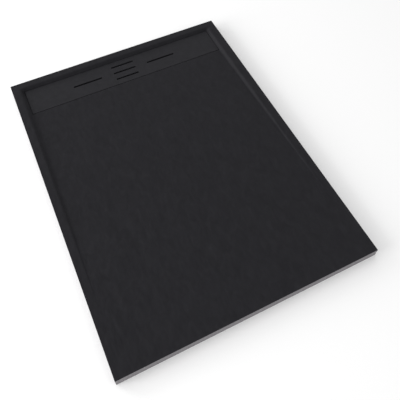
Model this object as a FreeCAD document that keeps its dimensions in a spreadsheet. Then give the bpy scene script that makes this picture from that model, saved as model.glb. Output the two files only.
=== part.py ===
import FreeCAD, Part
import math
import os
import re
import Sketcher

# Shower tray, 900 x 1200 x 38 mm, cast from mineral-filled resin with a slate-textured coat.
# A raised rim runs along the back and both long sides. The floor is level with the rim at the
# front and falls to a well along the back, which a loose slotted cover hides. The waste and its
# trap hang below the tray, in the floor that the tray is laid on.
#
# Millimetres. +X is right, +Y is back and +Z is up. The origin is the middle of the underside.

doc = FreeCAD.newDocument("ShowerTray")
Vector = FreeCAD.Vector

# ---------------------------------------------------------------------------
# Driving sizes
# ---------------------------------------------------------------------------

SIZES = [
    ("tray_width", 900, "tray, outside, left to right"),
    ("tray_length", 1200, "tray, outside, front to back"),
    ("tray_height", 38, "tray, underside to the top of the rim"),
    ("skin", 1.2, "coat of slate-textured gelcoat over the casting"),
    ("rim_side", 27, "flat top of the rim along each long side"),
    ("rim_back", 25, "flat top of the rim along the back"),
    ("side_run", 17, "how far a side wall leans inwards at its full depth"),
    ("back_run", 12, "how far the back wall leans inwards"),
    ("basin_depth", 13, "top of the rim down to the floor's low end and the cover"),
    ("bend_run", 3.4, "rounded edge at the top and foot of a wall, across"),
    ("bend_drop", 1.3, "rounded edge at the top and foot of a wall, in height"),
    ("apron", 225, "front stretch that is level with the rim"),
    ("well_length", 128, "well under the cover, front to back"),
    ("well_depth", 13, "top of the cover down to the bottom of the well"),
    ("cover_thickness", 8, "drain cover"),
    ("cover_gap", 1.5, "gap between the cover and the well on every side"),
    ("cover_chamfer", 1, "chamfer round the cover's top edge"),
    ("slot_width", 8, "every slot in the cover"),
    ("long_slot", 122, "length of the two outer slots"),
    ("long_slot_offset", 159.5, "middle of an outer slot from the cover's middle"),
    ("short_slot", 98, "length of the three middle slots"),
    ("slot_pitch", 34, "from one middle slot to the next"),
    ("foot_radius", 10, "rubber foot under the cover, where it is glued on"),
    ("foot_taper", 1, "how much smaller a foot's radius is at its tip"),
    ("foot_clearance", 0.2, "between a foot's tip and the bottom of the well"),
    ("foot_edge", 14, "middle of a foot from the cover's long edge"),
    ("foot_end", 25, "middle of an outer foot from the cover's short edge"),
    ("drain_radius", 45, "hole for the waste through the tray"),
    ("flange_radius", 56, "waste flange"),
    ("flange_thickness", 2.5, "waste flange"),
    ("flange_clearance", 0.5, "between the flange's rim and its seat"),
    ("gasket_thickness", 1, "gasket under the flange"),
    ("gasket_margin", 1, "gaskets are this much larger than the drain hole in radius"),
    ("strainer_radius", 31, "seat for the strainer in the flange"),
    ("strainer_thickness", 1.5, "hair strainer"),
    ("strainer_clearance", 0.2, "between the strainer and its seat"),
    ("strainer_ledge", 3, "width of the ledge that the strainer lies on"),
    ("strainer_hole", 1.75, "radius of a hole in the strainer"),
    ("strainer_ring", 8, "from one ring of holes to the next"),
    ("screw_circle", 76, "pitch circle of the flange screws"),
    ("screw_radius", 2, "shank of a flange screw"),
    ("screw_head", 3.75, "head of a flange screw, radius at its top"),
    ("screw_length", 15, "flange screw, with its countersunk head"),
    ("screw_clearance", 0.2, "between a screw and the hole that it passes"),
    ("thread_clearance", 0.05, "between a screw and the thread that it bites into"),
    ("driver_slot", 1, "width and depth of the slot in a screw's head"),
    ("drain_margin", 5, "casting round the recess under the drain, in its middle section"),
    ("relief_radius", 65, "shallow recess round the drain in the underside"),
    ("relief_depth", 1, "shallow recess round the drain in the underside"),
    ("trap_gasket_thickness", 2, "gasket between the tray and the trap"),
    ("trap_flange_radius", 62, "flange at the top of the trap"),
    ("trap_flange_thickness", 5, "flange at the top of the trap"),
    ("trap_radius", 55, "bowl of the trap, outside"),
    ("trap_wall", 3, "wall and bottom of the bowl"),
    ("trap_depth", 99, "bowl of the trap, from its flange's top to its bottom"),
    ("tower_radius", 5.5, "screw tower on the trap's flange"),
    ("tower_clearance", 0.3, "between a tower and the underside of the waste flange"),
    ("dip_hole", 28, "radius of the hole that the dip tube hangs in"),
    ("dip_radius", 25.5, "dip tube, outside"),
    ("dip_wall", 2, "wall of the dip tube"),
    ("dip_collar", 31.5, "radius of the dip tube's collar"),
    ("dip_collar_thickness", 2.5, "collar of the dip tube"),
    ("dip_length", 84, "dip tube below the trap's top face"),
    ("seal_clearance", 0.2, "round each rubber seal"),
    ("dip_seal_height", 3, "rubber seal round the dip tube"),
    ("outlet_drop", 36, "outlet's axis below the trap's top face"),
    ("branch_radius", 27, "threaded branch of the trap, outside"),
    ("branch_reach", 80, "end of the branch from the trap's axis"),
    ("branch_bore", 17.5, "water way through the branch, radius"),
    ("socket_depth", 20, "socket in the branch that takes the pipe"),
    ("pipe_radius", 20, "outlet pipe, outside, where the next pipe goes on"),
    ("pipe_step", 0.4, "the end in the socket is this much smaller in radius"),
    ("pipe_wall", 1.8, "outlet pipe"),
    ("pipe_length", 118, "outlet pipe, end to end"),
    ("pipe_insert", 18, "length of pipe inside the socket"),
    ("pipe_clearance", 0.3, "round the pipe in the socket and the nut"),
    ("nut_wall", 5, "union nut, outside its thread"),
    ("nut_overlap", 14, "length of branch that the nut covers"),
    ("nut_end", 4, "end wall of the union nut"),
    ("nut_groove", 2, "depth and half width of a grip groove round the nut"),
    ("cone_seal", 8, "length of the rubber seal in the nut"),
]

sheet = doc.addObject("Spreadsheet::Sheet", "Sizes")
for row, (alias, value, meaning) in enumerate(SIZES, start=1):
    sheet.set(f"A{row}", alias)
    sheet.set(f"B{row}", str(value))
    sheet.set(f"C{row}", meaning)
    sheet.setAlias(f"B{row}", alias)
doc.recompute()

# Places that several pieces share, as formulas of the sizes.
TOP = "tray_height"
FLOOR_END = "(tray_height - basin_depth)"
WELL_BOTTOM = "(tray_height - basin_depth - well_depth)"
WELL_BACK = "(tray_length / 2 - rim_back - back_run)"
WELL_HALF_WIDTH = "(tray_width / 2 - rim_side - side_run)"
DRAIN_Y = "(tray_length / 2 - rim_back - back_run - well_length / 2)"
COVER_BOTTOM = "(tray_height - basin_depth - cover_thickness)"
FLANGE_BOTTOM = "(tray_height - basin_depth - well_depth - flange_thickness)"
SEAT = "(tray_height - basin_depth - well_depth - flange_thickness - gasket_thickness)"
TRAP_TOP = "(relief_depth - trap_gasket_thickness)"
OUTLET_Z = "(relief_depth - trap_gasket_thickness - outlet_drop)"
GASKET_BORE = "(drain_radius + gasket_margin)"
NUT_START = "(branch_reach - nut_overlap)"
NUT_FINISH = "(branch_reach + cone_seal + nut_end)"
ROUND_FOUR = [(1, 0), (0, 1), (-1, 0), (0, -1)]

# How far a cut runs past the face that it opens.
PAST = "2"


# ---------------------------------------------------------------------------
# Drawing helpers
# ---------------------------------------------------------------------------


def tied(formula):
    """Write a formula of size names as an expression on the sheet."""
    return re.sub(r"[a-z][a-z_]+", lambda word: "Sizes." + word.group(), formula)


def worked_out(formula):
    """Give the number that a formula stands for now."""
    return float(sheet.evalExpression(tied(formula)))


def bind(thing, **formulas):
    """Bind properties of a document object to formulas of the sizes."""
    for name, formula in formulas.items():
        thing.setExpression(name, tied(formula))


def place(thing, x="0", y="0", z="0"):
    """Bind the position of a document object to formulas of the sizes."""
    for axis, formula in (("x", x), ("y", y), ("z", z)):
        thing.setExpression(f"Placement.Base.{axis}", tied(formula))


def new_body(name):
    body = doc.addObject("PartDesign::Body", name)
    body.Label = name
    return body


def sketch_on(body, name, role):
    """Start a sketch on one of the body's own origin planes."""
    sketch = body.newObject("Sketcher::SketchObject", name)
    plane = [p for p in body.Origin.OriginFeatures if p.Role == role][0]
    sketch.AttachmentSupport = [(plane, "")]
    sketch.MapMode = "FlatFace"
    return sketch


def lock(sketch, geometry, point, x, y):
    """Hold a point of a sketch at two formulas."""
    for kind, formula in (("DistanceX", x), ("DistanceY", y)):
        held = Sketcher.Constraint(kind, geometry, point, worked_out(formula))
        index = sketch.addConstraint(held)
        sketch.setExpression(f"Constraints[{index}]", tied(formula))


def set_radius(sketch, geometry, formula):
    index = sketch.addConstraint(Sketcher.Constraint("Radius", geometry, worked_out(formula)))
    sketch.setExpression(f"Constraints[{index}]", tied(formula))


def draw_outline(sketch, corners):
    """Draw a closed outline of straight lines through corners given as formulas."""
    points = [Vector(worked_out(x), worked_out(y), 0) for x, y in corners]
    count = len(points)
    for i in range(count):
        sketch.addGeometry(Part.LineSegment(points[i], points[(i + 1) % count]), False)
    for i in range(count):
        sketch.addConstraint(Sketcher.Constraint("Coincident", i, 2, (i + 1) % count, 1))
    for i, (x, y) in enumerate(corners):
        lock(sketch, i, 1, x, y)


def draw_circle(sketch, x, y, radius):
    middle = Vector(worked_out(x), worked_out(y), 0)
    circle = Part.Circle(middle, Vector(0, 0, 1), worked_out(radius))
    geometry = sketch.addGeometry(circle, False)
    lock(sketch, geometry, 3, x, y)
    set_radius(sketch, geometry, radius)


def draw_slot(sketch, x, y, length, width):
    """Draw a slot along X with round ends, its middle at x, y."""
    reach = f"({length} - {width}) / 2"
    radius = f"{width} / 2"
    r = worked_out(radius)
    ends = []
    for side, start in ((-1, 0.5), (1, -0.5)):
        middle = Vector(worked_out(f"{x} + {side} * {reach}"), worked_out(y), 0)
        circle = Part.Circle(middle, Vector(0, 0, 1), r)
        arc = Part.ArcOfCircle(circle, start * math.pi, (start + 1) * math.pi)
        ends.append((sketch.addGeometry(arc, False), middle))
    (left, left_middle), (right, right_middle) = ends
    rise = Vector(0, r, 0)
    top = sketch.addGeometry(Part.LineSegment(right_middle + rise, left_middle + rise), False)
    foot = sketch.addGeometry(Part.LineSegment(left_middle - rise, right_middle - rise), False)
    meetings = [(right, 2, top, 1), (left, 1, top, 2), (left, 2, foot, 1), (right, 1, foot, 2)]
    for arc, end, line, point in meetings:
        sketch.addConstraint(Sketcher.Constraint("Tangent", arc, end, line, point))
    lock(sketch, left, 3, f"{x} - {reach}", y)
    lock(sketch, right, 3, f"{x} + {reach}", y)
    set_radius(sketch, left, radius)
    set_radius(sketch, right, radius)


def revolve(body, kind, name, sketch, axis):
    """Turn a sketch right round one of its own axes, as a solid or as a cut."""
    turned = body.newObject("PartDesign::" + kind, name)
    turned.Profile = sketch
    turned.ReferenceAxis = (sketch, [axis])
    turned.Angle = 360
    return turned


def turned_part(name, corners):
    """Make a round piece about the drain's upright axis: corners are radius, height."""
    body = new_body(name)
    sketch = sketch_on(body, name + "_outline", "XZ_Plane")
    draw_outline(sketch, corners)
    revolve(body, "Revolution", name + "_turned", sketch, "V_Axis")
    place(body, y=DRAIN_Y)
    return body


def outlet_part(name, corners):
    """Make a round piece about the outlet's level axis: corners are distance, radius."""
    body = new_body(name)
    sketch = sketch_on(body, name + "_outline", "XZ_Plane")
    draw_outline(sketch, [(f"0 - ({x})", radius) for x, radius in corners])
    revolve(body, "Revolution", name + "_turned", sketch, "H_Axis")
    place(body, y=DRAIN_Y, z=OUTLET_Z)
    return body


def ring(inside, outside, low, high):
    return [(inside, low), (outside, low), (outside, high), (inside, high)]


def cut_through(body, name, sketch):
    """Cut a sketch through the whole body, both ways from its plane."""
    pocket = body.newObject("PartDesign::Pocket", name)
    pocket.Profile = sketch
    pocket.Type = "ThroughAll"
    pocket.Midplane = True
    return pocket


def box(name, width, length, height, x, y, z):
    """Make a box from its size and its low corner."""
    block = doc.addObject("Part::Box", name)
    bind(block, Length=width, Width=length, Height=height)
    place(block, x, y, z)
    return block


def cylinder(name, radius, height, x="0", y=DRAIN_Y, z="0"):
    rod = doc.addObject("Part::Cylinder", name)
    bind(rod, Radius=radius, Height=height)
    place(rod, x, y, z)
    return rod


def cut(name, base, tool):
    result = doc.addObject("Part::Cut", name)
    result.Label = name
    result.Base = base
    result.Tool = tool
    return result


def common(name, base, tool):
    result = doc.addObject("Part::Common", name)
    result.Label = name
    result.Base = base
    result.Tool = tool
    return result


def compound(name, shapes):
    result = doc.addObject("Part::Compound", name)
    result.Label = name
    result.Links = shapes
    return result


def fuse(name, shapes):
    result = doc.addObject("Part::MultiFuse", name)
    result.Shapes = shapes
    return result


# ---------------------------------------------------------------------------
# Tray: a pale casting under a dark coat
# ---------------------------------------------------------------------------


def basin_former(name, drop):
    """The space between the rims: a floor that falls to the back, and three leaning walls."""
    low = f"({FLOOR_END} - {drop})"
    top = f"({TOP} - {drop})"
    half_top = "(tray_width / 2 - rim_side)"
    rim_back_y = "(tray_length / 2 - rim_back)"
    front = "(apron - tray_length / 2)"
    body = new_body(name)
    across = sketch_on(body, name + "_across", "XZ_Plane")
    draw_outline(
        across,
        [
            (f"0 - {half_top}", top),
            (f"bend_run - {half_top}", f"{top} - bend_drop"),
            (f"0 - {WELL_HALF_WIDTH} - bend_run", f"{low} + bend_drop"),
            (f"0 - {WELL_HALF_WIDTH}", low),
            (WELL_HALF_WIDTH, low),
            (f"{WELL_HALF_WIDTH} + bend_run", f"{low} + bend_drop"),
            (f"{half_top} - bend_run", f"{top} - bend_drop"),
            (half_top, top),
        ],
    )
    pad = body.newObject("PartDesign::Pad", name + "_pad")
    pad.Profile = across
    bind(pad, Length="tray_length")
    pad.Midplane = True
    along = sketch_on(body, name + "_along", "YZ_Plane")
    beyond = "tray_length"
    draw_outline(
        along,
        [
            (f"0 - {beyond}", f"{top} + basin_depth"),
            (front, f"{top} + basin_depth"),
            (front, top),
            (f"({WELL_BACK} - well_length)", low),
            (WELL_BACK, low),
            (f"{rim_back_y} - bend_run", f"{top} - bend_drop"),
            (rim_back_y, top),
            (rim_back_y, f"{top} + basin_depth"),
            (beyond, f"{top} + basin_depth"),
            (beyond, f"{low} - basin_depth"),
            (f"0 - {beyond}", f"{low} - basin_depth"),
        ],
    )
    cut_through(body, name + "_ends", along)
    return body


def well_former(name, grow):
    """The space under the cover, a little higher than the low end of the basin's sloping floor."""
    return box(
        name,
        f"2 * ({WELL_HALF_WIDTH} + {grow})",
        f"well_length + 2 * {grow}",
        f"well_depth + skin / 4 + {grow} * basin_depth / (back_run - bend_run)",
        f"0 - {WELL_HALF_WIDTH} - {grow}",
        f"{WELL_BACK} - well_length - {grow}",
        f"{WELL_BOTTOM} - {grow}",
    )


def hollow_block(name, drop):
    """A block as large as the tray, lowered by drop, with the basin and the well cut out."""
    block = box(
        name + "_block",
        "tray_width",
        "tray_length",
        f"{TOP} - {drop}",
        "0 - tray_width / 2",
        "0 - tray_length / 2",
        "0",
    )
    basin = basin_former(name + "_basin", drop)
    well = well_former(name + "_well", drop)
    return cut(name, block, fuse(name + "_hollow", [basin, well]))


def drain_former(name):
    """The drain's hole, the flange's seat above it and the recess below it."""
    return fuse(
        name,
        [
            cylinder(name + "_hole", "drain_radius", "tray_height", z=f"0 - {PAST}"),
            cylinder(name + "_seat", "flange_radius + flange_clearance", "well_depth", z=SEAT),
            cylinder(name + "_relief", "relief_radius", f"relief_depth + {PAST}", z=f"0 - {PAST}"),
        ],
    )


def section(name, whole, width, length, height, x, y, z):
    """The share of a whole piece that lies in one box."""
    bounds = box(name + "_bounds", width, length, height, x, y, z)
    return common(name, whole, bounds)


def tray_core():
    """One casting, drawn in seven sections that meet face to face, so that each is simple."""
    casting = cut("casting", hollow_block("casting_outer", "skin"), drain_former("core_drain"))
    inner = f"({WELL_HALF_WIDTH} + skin)"
    side = f"(tray_width / 2 - {inner})"
    left = "0 - tray_width / 2"
    front = "0 - tray_length / 2"
    step = f"({WELL_BACK} - well_length - skin)"
    well = "(well_length + 2 * skin)"
    round_drain = "(relief_radius + drain_margin)"
    wide = f"2 * {inner}"
    end = f"({inner} - {round_drain})"
    bed_length = f"tray_length / 2 + {step}"
    back_length = f"tray_length / 2 - {step} - {well}"
    places = {
        "left_rim": (side, "tray_length", left, front),
        "right_rim": (side, "tray_length", inner, front),
        "back_rim": (wide, back_length, f"0 - {inner}", f"{step} + {well}"),
        "bed": (wide, bed_length, f"0 - {inner}", front),
        "well_left": (end, well, f"0 - {inner}", step),
        "well_middle": (f"2 * {round_drain}", well, f"0 - {round_drain}", step),
        "well_right": (end, well, round_drain, step),
    }
    sections = [
        section(name, casting, width, length, "tray_height", x, y, "0")
        for name, (width, length, x, y) in places.items()
    ]
    return compound("tray_core", sections)


tray_core()
coat = cut("coat", hollow_block("moulding", "0"), hollow_block("backing", "skin"))
cut("slate_skin", coat, drain_former("skin_drain"))

# ---------------------------------------------------------------------------
# Drain cover: a loose slotted slab of the same resin, on rubber feet
# ---------------------------------------------------------------------------

COVER_HALF_WIDTH = f"({WELL_HALF_WIDTH} - cover_gap)"
COVER_HALF_LENGTH = "(well_length / 2 - cover_gap)"


def drain_cover():
    body = new_body("drain_cover")
    outline = sketch_on(body, "cover_outline", "XY_Plane")
    draw_outline(
        outline,
        [
            (f"0 - {COVER_HALF_WIDTH}", f"0 - {COVER_HALF_LENGTH}"),
            (COVER_HALF_WIDTH, f"0 - {COVER_HALF_LENGTH}"),
            (COVER_HALF_WIDTH, COVER_HALF_LENGTH),
            (f"0 - {COVER_HALF_WIDTH}", COVER_HALF_LENGTH),
        ],
    )
    slab = body.newObject("PartDesign::Pad", "cover_slab")
    slab.Profile = outline
    bind(slab, Length="cover_thickness")
    doc.recompute()
    faces = slab.Shape.Faces
    top = max(range(len(faces)), key=lambda i: faces[i].CenterOfMass.z)
    edge = body.newObject("PartDesign::Chamfer", "cover_edge")
    edge.Base = (slab, [f"Face{top + 1}"])
    bind(edge, Size="cover_chamfer")
    slots = sketch_on(body, "cover_slots", "XY_Plane")
    for side in (-1, 1):
        draw_slot(slots, f"{side} * long_slot_offset", "0", "long_slot", "slot_width")
    for step in (-1, 0, 1):
        draw_slot(slots, "0", f"{step} * slot_pitch", "short_slot", "slot_width")
    cut_through(body, "cover_slotted", slots)
    place(body, y=DRAIN_Y, z=COVER_BOTTOM)


def cover_feet():
    """Two rows of four feet, moulded as short cones and spread evenly along the cover."""
    number = 0
    for side in (-1, 1):
        for third in (-3, -1, 1, 3):
            number += 1
            foot = doc.addObject("Part::Cone", f"cover_foot_{number}")
            foot.Label = f"cover_foot_{number}"
            bind(
                foot,
                Radius1="foot_radius - foot_taper",
                Radius2="foot_radius",
                Height="well_depth - cover_thickness - foot_clearance",
            )
            place(
                foot,
                f"{third} * ({COVER_HALF_WIDTH} - foot_end) / 3",
                f"{DRAIN_Y} + {side} * ({COVER_HALF_LENGTH} - foot_edge)",
                f"{WELL_BOTTOM} + foot_clearance",
            )


drain_cover()
cover_feet()

# ---------------------------------------------------------------------------
# Waste: flange, gasket, strainer and screws, all flush with the bottom of the well
# ---------------------------------------------------------------------------


def waste_flange():
    """A pressed ring with a ledge for the strainer and four countersunk holes."""
    ledge = f"({WELL_BOTTOM} - strainer_thickness)"
    bore = "(strainer_radius - strainer_ledge)"
    body = turned_part(
        "waste_flange",
        [
            (bore, FLANGE_BOTTOM),
            ("flange_radius", FLANGE_BOTTOM),
            ("flange_radius", WELL_BOTTOM),
            ("strainer_radius", WELL_BOTTOM),
            ("strainer_radius", ledge),
            (bore, ledge),
        ],
    )
    hole = sketch_on(body, "flange_screw_hole", "XZ_Plane")
    axis = "screw_circle / 2"
    shank = f"({axis} + screw_radius + screw_clearance)"
    mouth = f"({axis} + screw_head + screw_clearance)"
    cone_foot = f"({WELL_BOTTOM} - screw_head + screw_radius)"
    draw_outline(
        hole,
        [
            (axis, f"{FLANGE_BOTTOM} - {PAST}"),
            (shank, f"{FLANGE_BOTTOM} - {PAST}"),
            (shank, cone_foot),
            (mouth, WELL_BOTTOM),
            (mouth, f"{WELL_BOTTOM} + {PAST}"),
            (axis, f"{WELL_BOTTOM} + {PAST}"),
        ],
    )
    first_hole = revolve(body, "Groove", "flange_screw_cut", hole, "Edge6")
    repeat_round(body, "flange_screw_holes", first_hole, len(ROUND_FOUR))


def repeat_round(body, name, feature, count):
    """Repeat a cut evenly round the drain's axis."""
    pattern = body.newObject("PartDesign::PolarPattern", name)
    pattern.Originals = [feature]
    pattern.Axis = ([a for a in body.Origin.OriginFeatures if a.Role == "Z_Axis"][0], [""])
    pattern.Angle = 360
    pattern.Occurrences = count
    body.Tip = pattern
    return pattern


def hair_strainer():
    """A stamped disc with a middle hole and three rings of holes."""
    low = f"({WELL_BOTTOM} - strainer_thickness)"
    edge = "(strainer_radius - strainer_clearance)"
    body = turned_part(
        "hair_strainer",
        [("0", low), (edge, low), (edge, WELL_BOTTOM), ("0", WELL_BOTTOM)],
    )
    middle = sketch_on(body, "strainer_middle", "XY_Plane")
    draw_circle(middle, "0", "0", "strainer_hole")
    cut_through(body, "strainer_middle_hole", middle)
    for number in (1, 2, 3):
        hole = sketch_on(body, f"strainer_hole_{number}", "XY_Plane")
        draw_circle(hole, f"{number} * strainer_ring", "0", "strainer_hole")
        first = cut_through(body, f"strainer_cut_{number}", hole)
        repeat_round(body, f"strainer_ring_{number}", first, 6 * number)


def flange_screws():
    """Four countersunk screws with a slot across the head, kept together as one set."""
    screws = []
    for number, (x, y) in enumerate(ROUND_FOUR, start=1):
        at_x = f"{x} * screw_circle / 2"
        at_y = f"{DRAIN_Y} + {y} * screw_circle / 2"
        head = doc.addObject("Part::Cone", f"screw_head_{number}")
        bind(head, Radius1="screw_radius", Radius2="screw_head", Height="screw_head - screw_radius")
        place(head, at_x, at_y, f"{WELL_BOTTOM} - screw_head + screw_radius")
        shank = cylinder(
            f"screw_shank_{number}",
            "screw_radius",
            "screw_length - screw_head + screw_radius",
            at_x,
            at_y,
            f"{WELL_BOTTOM} - screw_length",
        )
        slot = box(
            f"screw_slot_{number}",
            "2 * screw_head",
            "driver_slot",
            "driver_slot",
            f"{at_x} - screw_head",
            f"{at_y} - driver_slot / 2",
            f"{WELL_BOTTOM} - driver_slot",
        )
        screws.append(cut(f"screw_{number}", fuse(f"screw_solid_{number}", [head, shank]), slot))
    compound("flange_screws", screws)


waste_flange()
turned_part("flange_gasket", ring(GASKET_BORE, "flange_radius", SEAT, FLANGE_BOTTOM))
hair_strainer()
flange_screws()

# ---------------------------------------------------------------------------
# Trap: a bowl under the tray with a dip tube hanging in it
# ---------------------------------------------------------------------------


def trap_moulding():
    """A moulded bowl with a flange, four screw towers and a branch for the outlet."""
    deck = f"({TRAP_TOP} - trap_flange_thickness)"
    bottom = f"({TRAP_TOP} - trap_depth)"
    inside = "(trap_radius - trap_wall)"
    body = turned_part(
        "trap_moulding",
        [
            ("0", bottom),
            ("trap_radius", bottom),
            ("trap_radius", deck),
            ("trap_flange_radius", deck),
            ("trap_flange_radius", TRAP_TOP),
            ("0", TRAP_TOP),
        ],
    )
    branch = sketch_on(body, "branch_outline", "YZ_Plane")
    draw_circle(branch, "0", OUTLET_Z, "branch_radius")
    tube = body.newObject("PartDesign::Pad", "branch")
    tube.Profile = branch
    bind(tube, Length="branch_reach")
    tube.Reversed = True
    tower = sketch_on(body, "tower_outline", "XZ_Plane")
    axis = "screw_circle / 2"
    draw_outline(
        tower,
        [
            (axis, f"{TRAP_TOP} - trap_flange_thickness / 2"),
            (f"{axis} + tower_radius", f"{TRAP_TOP} - trap_flange_thickness / 2"),
            (f"{axis} + tower_radius", f"{FLANGE_BOTTOM} - tower_clearance"),
            (axis, f"{FLANGE_BOTTOM} - tower_clearance"),
        ],
    )
    first_tower = revolve(body, "Revolution", "tower", tower, "Edge4")
    repeat_round(body, "towers", first_tower, len(ROUND_FOUR))
    cavity = sketch_on(body, "cavity_outline", "XZ_Plane")
    draw_outline(
        cavity,
        [
            ("0", f"{bottom} + trap_wall"),
            (inside, f"{bottom} + trap_wall"),
            (inside, deck),
            ("dip_hole", deck),
            ("dip_hole", f"{TRAP_TOP} + {PAST}"),
            ("0", f"{TRAP_TOP} + {PAST}"),
        ],
    )
    revolve(body, "Groove", "cavity", cavity, "V_Axis")
    screw = sketch_on(body, "tower_hole_outline", "XZ_Plane")
    thread = f"({axis} + screw_radius + thread_clearance)"
    hole_end = f"({deck} - {PAST})"
    draw_outline(
        screw,
        [
            (axis, hole_end),
            (thread, hole_end),
            (thread, WELL_BOTTOM),
            (axis, WELL_BOTTOM),
        ],
    )
    first_hole = revolve(body, "Groove", "tower_hole", screw, "Edge4")
    repeat_round(body, "tower_holes", first_hole, len(ROUND_FOUR))
    bore = sketch_on(body, "branch_bore_outline", "XZ_Plane")
    socket = "(pipe_radius - pipe_step + pipe_clearance)"
    draw_outline(
        bore,
        [
            ("0", OUTLET_Z),
            ("0", f"{OUTLET_Z} + branch_bore"),
            ("0 - branch_reach + socket_depth", f"{OUTLET_Z} + branch_bore"),
            ("0 - branch_reach + socket_depth", f"{OUTLET_Z} + {socket}"),
            ("0 - branch_reach - socket_depth", f"{OUTLET_Z} + {socket}"),
            ("0 - branch_reach - socket_depth", OUTLET_Z),
        ],
    )
    revolve(body, "Groove", "branch_bored", bore, "Edge6")
    return body


def trap_bowl():
    """The moulding in four sections that meet face to face: bottom, wall, branch and flange."""
    moulding = trap_moulding()
    bottom = f"({TRAP_TOP} - trap_depth)"
    inside_height = "(trap_depth - trap_wall - trap_flange_thickness)"
    deck = f"({TRAP_TOP} - trap_flange_thickness)"
    half = "(trap_flange_radius + branch_reach)"
    whole = f"2 * {half}"
    left = f"0 - {half}"
    front = f"{DRAIN_Y} - {half}"
    branch_end = "(0 - trap_radius)"
    above_floor = f"{bottom} + trap_wall"
    places = {
        "trap_bottom": (whole, "trap_wall", left, bottom),
        "trap_side": (half, inside_height, branch_end, above_floor),
        "trap_branch": (f"{half} + {branch_end}", inside_height, left, above_floor),
        "trap_flange": (whole, "tray_height", left, deck),
    }
    sections = [
        section(name, moulding, width, whole, height, x, front, z)
        for name, (width, height, x, z) in places.items()
    ]
    compound("trap_bowl", sections)


def dip_tube():
    """A tube that hangs in the bowl by its collar and dips below the outlet."""
    inside = "(dip_radius - dip_wall)"
    turned_part(
        "dip_tube",
        [
            (inside, f"{TRAP_TOP} - dip_length"),
            ("dip_radius", f"{TRAP_TOP} - dip_length"),
            ("dip_radius", TRAP_TOP),
            ("dip_collar", TRAP_TOP),
            ("dip_collar", f"{TRAP_TOP} + dip_collar_thickness"),
            (inside, f"{TRAP_TOP} + dip_collar_thickness"),
        ],
    )


def dip_tube_seal():
    """A rubber ring squeezed between the dip tube and the edge of its hole."""
    middle = f"({TRAP_TOP} - trap_flange_thickness / 2)"
    turned_part(
        "dip_tube_seal",
        ring(
            "(dip_radius + seal_clearance)",
            "(dip_hole - seal_clearance)",
            f"{middle} - dip_seal_height / 2",
            f"{middle} + dip_seal_height / 2",
        ),
    )


trap_top_ring = ring(GASKET_BORE, "(trap_flange_radius - gasket_margin)", TRAP_TOP, "relief_depth")
turned_part("trap_gasket", trap_top_ring)
trap_bowl()
dip_tube()
dip_tube_seal()

# ---------------------------------------------------------------------------
# Outlet: a pipe held in the trap's branch by a union nut and a rubber seal
# ---------------------------------------------------------------------------


def outlet_pipe():
    """A plain pipe whose free end is a little larger than the end in the socket."""
    start = "(branch_reach - pipe_insert)"
    finish = f"({start} + pipe_length)"
    step = f"({NUT_FINISH} + nut_end)"
    slim = "(pipe_radius - pipe_step)"
    inside = "(pipe_radius - pipe_wall)"
    outlet_part(
        "outlet_pipe",
        [
            (start, inside),
            (start, slim),
            (step, slim),
            (step, "pipe_radius"),
            (finish, "pipe_radius"),
            (finish, inside),
        ],
    )


def outlet_nut():
    """A cap nut over the branch, with two grip grooves round it."""
    thread = "(branch_radius + thread_clearance)"
    outside = "(branch_radius + nut_wall)"
    groove = "(branch_radius + nut_wall - nut_groove)"
    bore = "(pipe_radius - pipe_step + pipe_clearance)"
    corners = [(NUT_START, thread), (NUT_START, outside)]
    for third in (1, 2):
        middle = f"({NUT_START} + {third} * ({NUT_FINISH} - {NUT_START}) / 3)"
        corners += [
            (f"{middle} - nut_groove", outside),
            (middle, groove),
            (f"{middle} + nut_groove", outside),
        ]
    corners += [
        (NUT_FINISH, outside),
        (NUT_FINISH, bore),
        (f"{NUT_FINISH} - nut_end", bore),
        (f"{NUT_FINISH} - nut_end", thread),
    ]
    outlet_part("outlet_nut", corners)


def outlet_seal():
    """A rubber ring squeezed between the end of the branch and the nut."""
    inside = "(pipe_radius - pipe_step + seal_clearance)"
    outside = "(branch_radius - seal_clearance)"
    finish = "(branch_reach + cone_seal)"
    outlet_part(
        "outlet_seal",
        [("branch_reach", inside), ("branch_reach", outside), (finish, outside), (finish, inside)],
    )


outlet_pipe()
outlet_nut()
outlet_seal()

# ---------------------------------------------------------------------------
# Check every object, then write one file for each piece
# ---------------------------------------------------------------------------

NODES = ["tray_core", "slate_skin", "drain_cover"]
NODES += [f"cover_foot_{number}" for number in range(1, 9)]
NODES += ["waste_flange", "flange_gasket", "hair_strainer", "flange_screws"]
NODES += ["trap_gasket", "trap_bowl", "dip_tube", "dip_tube_seal"]
NODES += ["outlet_pipe", "outlet_nut", "outlet_seal"]

doc.recompute()
for thing in doc.Objects:
    if "Invalid" in thing.State or "Error" in thing.State:
        raise RuntimeError(f"{thing.Name} did not compute: {thing.State}")

os.makedirs("parts", exist_ok=True)
for node in NODES:
    piece = doc.getObjectsByLabel(node)[0]
    shape = piece.Shape
    if shape.isNull() or not shape.isValid() or shape.Volume <= 0:
        raise RuntimeError(f"{node} has no sound shape")
    print(f"{node}: {len(shape.Solids)} solid(s), {shape.Volume / 1000:.2f} cm3")
    shape.exportStep(f"parts/{node}.step")
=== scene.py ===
import math

import bmesh
import bpy
from mathutils import Matrix, Vector, noise


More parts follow.
